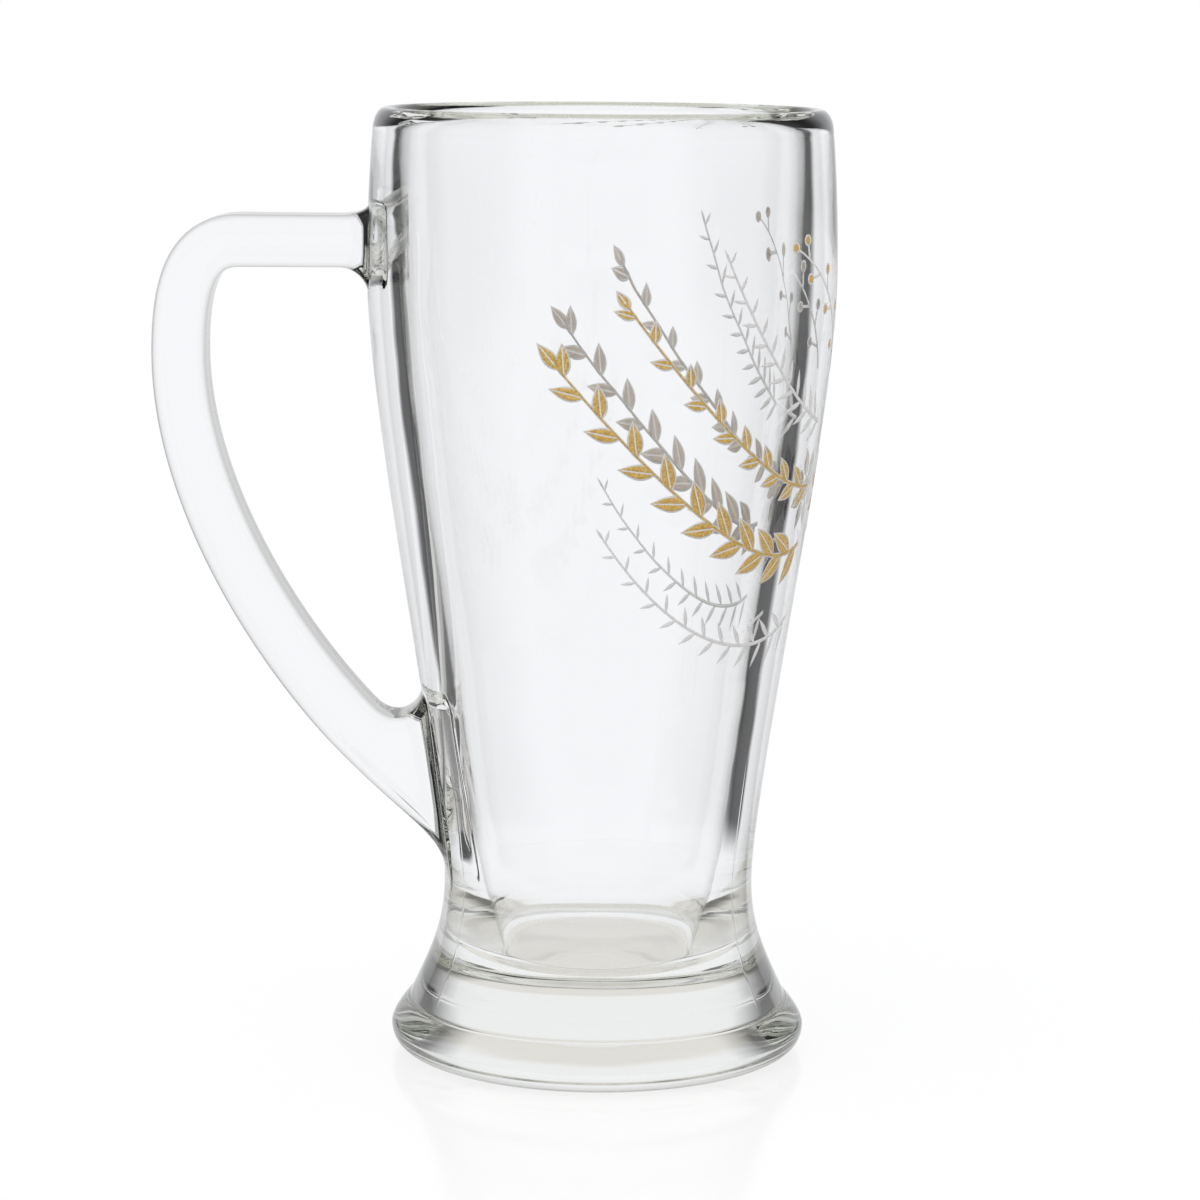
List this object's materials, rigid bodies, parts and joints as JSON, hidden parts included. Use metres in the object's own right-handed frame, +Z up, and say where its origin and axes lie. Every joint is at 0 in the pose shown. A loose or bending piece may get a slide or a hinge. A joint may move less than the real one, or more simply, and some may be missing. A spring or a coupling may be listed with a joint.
{
  "type": "beer mug",
  "caption": "Tall clear glass beer mug with a waisted bowl, a flared solid foot, a stuck-on loop handle and a leaf print in white and gold enamel.",
  "frame": {"origin": "centre of the flat underside of the foot, on the mug's axis, where it stands on the table", "axes": "+Z up along the mug's axis, -X towards the handle, so the handle lies in the XZ plane"},
  "size_m": [0.1287, 0.0888, 0.18],
  "materials": {
    "glass": "fire-polished clear soda-lime glass",
    "gold_enamel": "fired satin gold print",
    "white_enamel": "fired satin white print"
  },
  "bodies": {
    "root": {"bowl": "glass", "foot": "glass", "handle": "glass", "gold_rosette": "gold_enamel", "gold_laurel_front": "gold_enamel", "gold_laurel_back": "gold_enamel", "gold_sprig_front": "gold_enamel", "gold_sprig_back": "gold_enamel", "gold_berries_front": "gold_enamel", "gold_berries_back": "gold_enamel", "white_fern_upper_front": "white_enamel", "white_fern_upper_back": "white_enamel", "white_fern_lower_front": "white_enamel", "white_fern_lower_back": "white_enamel"}
  },
  "joints": []
}
